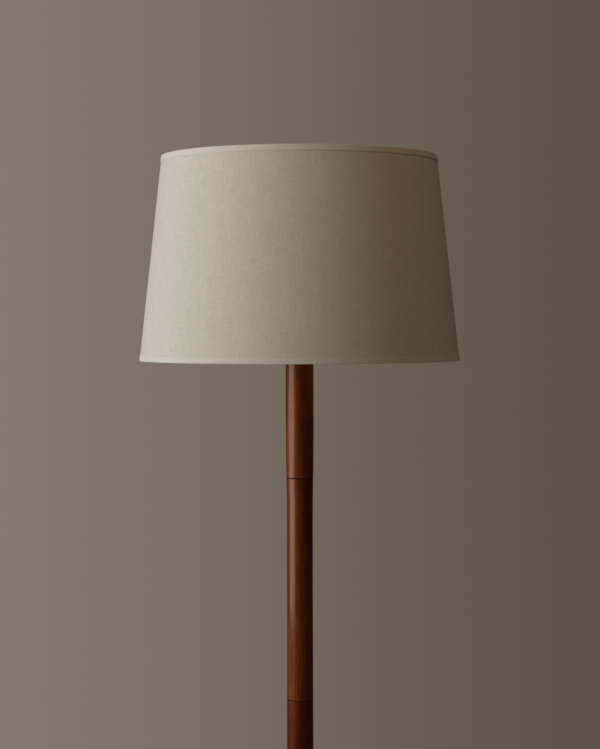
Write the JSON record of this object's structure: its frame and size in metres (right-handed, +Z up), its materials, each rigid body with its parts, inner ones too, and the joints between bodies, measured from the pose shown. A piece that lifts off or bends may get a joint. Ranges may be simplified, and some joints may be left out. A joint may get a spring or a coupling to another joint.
{
  "type": "tripod floor lamp",
  "caption": "Floor lamp with a tapered linen drum shade held by a harp and finial over a screw socket, on a turned wooden column with splayed wooden legs.",
  "frame": {"origin": "on the floor, on the column's axis", "axes": "+Z up along the column; -Y towards the switch knob and the front leg; +X to the right, in the plane of the harp"},
  "size_m": [0.456, 0.4658, 1.5356],
  "materials": {
    "wood": "red-brown turned hardwood, satin varnish",
    "black_ring": "thin black spacer ring",
    "linen": "slubby off-white linen weave",
    "trim_tape": "smooth off-white cotton tape",
    "shade_lining": "satin white styrene",
    "brass": "satin brass",
    "steel": "zinc-plated steel",
    "bulb_metal": "bright rolled aluminium",
    "black_plastic": "dark moulded phenolic",
    "card": "brown pressed card",
    "frosted_glass": "white frosted glass",
    "rubber": "matt black rubber"
  },
  "bodies": {
    "stand": {"hub": "wood", "leg_1": "wood", "leg_bolt_1": "steel", "leg_insert_1": "brass", "foot_pad_1": "rubber", "leg_2": "wood", "leg_bolt_2": "steel", "leg_insert_2": "brass", "foot_pad_2": "rubber", "leg_3": "wood", "leg_bolt_3": "steel", "leg_insert_3": "brass", "foot_pad_3": "rubber", "hub_washer": "steel", "hub_nut": "brass", "cord_bushing": "rubber", "column_section_1": "wood", "joint_ring_1": "black_ring", "pipe_coupling_1": "brass", "lamp_pipe_1": "steel", "column_section_2": "wood", "joint_ring_2": "black_ring", "pipe_coupling_2": "brass", "lamp_pipe_2": "steel", "column_section_3": "wood", "joint_ring_3": "black_ring", "pipe_coupling_3": "brass", "lamp_pipe_3": "steel", "lamp_pipe_4": "steel", "check_ring": "brass", "harp_saddle": "brass", "socket_cap": "brass", "cap_set_screw": "steel", "socket_shell": "brass", "insulating_sleeve": "card", "socket_body": "black_plastic", "terminal_screw_1": "steel", "terminal_screw_2": "brass", "screw_shell": "brass", "centre_contact": "brass"},
    "switch": {"switch_shaft": "brass", "switch_knob": "black_plastic"},
    "bulb_contact": {"bulb_tip": "bulb_metal"},
    "bulb": {"bulb_glass": "frosted_glass", "bulb_stem": "frosted_glass", "bulb_base": "bulb_metal", "bulb_insulator": "black_plastic"},
    "harp": {"harp_wire": "brass", "harp_stud": "brass"},
    "ferrule_left": {"ferrule_left": "brass"},
    "ferrule_right": {"ferrule_right": "brass"},
    "shade": {"spider": "brass", "top_ring": "steel", "bottom_ring": "steel", "shade_liner": "shade_lining", "shade_cover": "linen", "top_trim": "trim_tape", "bottom_trim": "trim_tape"},
    "finial_insert": {"finial_insert": "brass"},
    "finial": {"finial": "wood"}
  },
  "joints": [
    {"name": "switch_turn", "type": "hinge", "parent": "stand", "child": "switch", "pos_m": [0, -0.02, 1.2975], "axis": [0, -1, 0], "continuous": true},
    {"name": "bulb_rise", "type": "slide", "parent": "stand", "child": "bulb_contact", "axis": [0, 0, 1], "range_m": [0, 0.0182]},
    {"name": "bulb_turn", "type": "hinge", "parent": "bulb_contact", "child": "bulb", "pos_m": [0, 0, 1.32], "axis": [0, 0, 1], "range_deg": [0, 1800]},
    {"name": "harp_lift", "type": "slide", "parent": "stand", "child": "harp", "axis": [0, 0, 1], "range_m": [0, 0.15]},
    {"name": "ferrule_left_lift", "type": "slide", "parent": "harp", "child": "ferrule_left", "axis": [0, 0, 1], "range_m": [0, 0.018]},
    {"name": "ferrule_right_lift", "type": "slide", "parent": "harp", "child": "ferrule_right", "axis": [0, 0, 1], "range_m": [0, 0.018]},
    {"name": "shade_swivel", "type": "hinge", "parent": "harp", "child": "shade", "pos_m": [0, 0, 1.508], "axis": [0, 0, 1], "continuous": true},
    {"name": "finial_rise", "type": "slide", "parent": "harp", "child": "finial_insert", "axis": [0, 0, 1], "range_m": [0, 0.0094]},
    {"name": "finial_turn", "type": "hinge", "parent": "finial_insert", "child": "finial", "pos_m": [0, 0, 1.52], "axis": [0, 0, 1], "range_deg": [0, 3600]}
  ],
  "couplings": [
    {"joint": "bulb_rise", "follows": "bulb_turn", "m_per_rad": 0.00057773},
    {"joint": "finial_turn", "follows": "finial_rise", "rad_per_m": 6677.1}
  ]
}
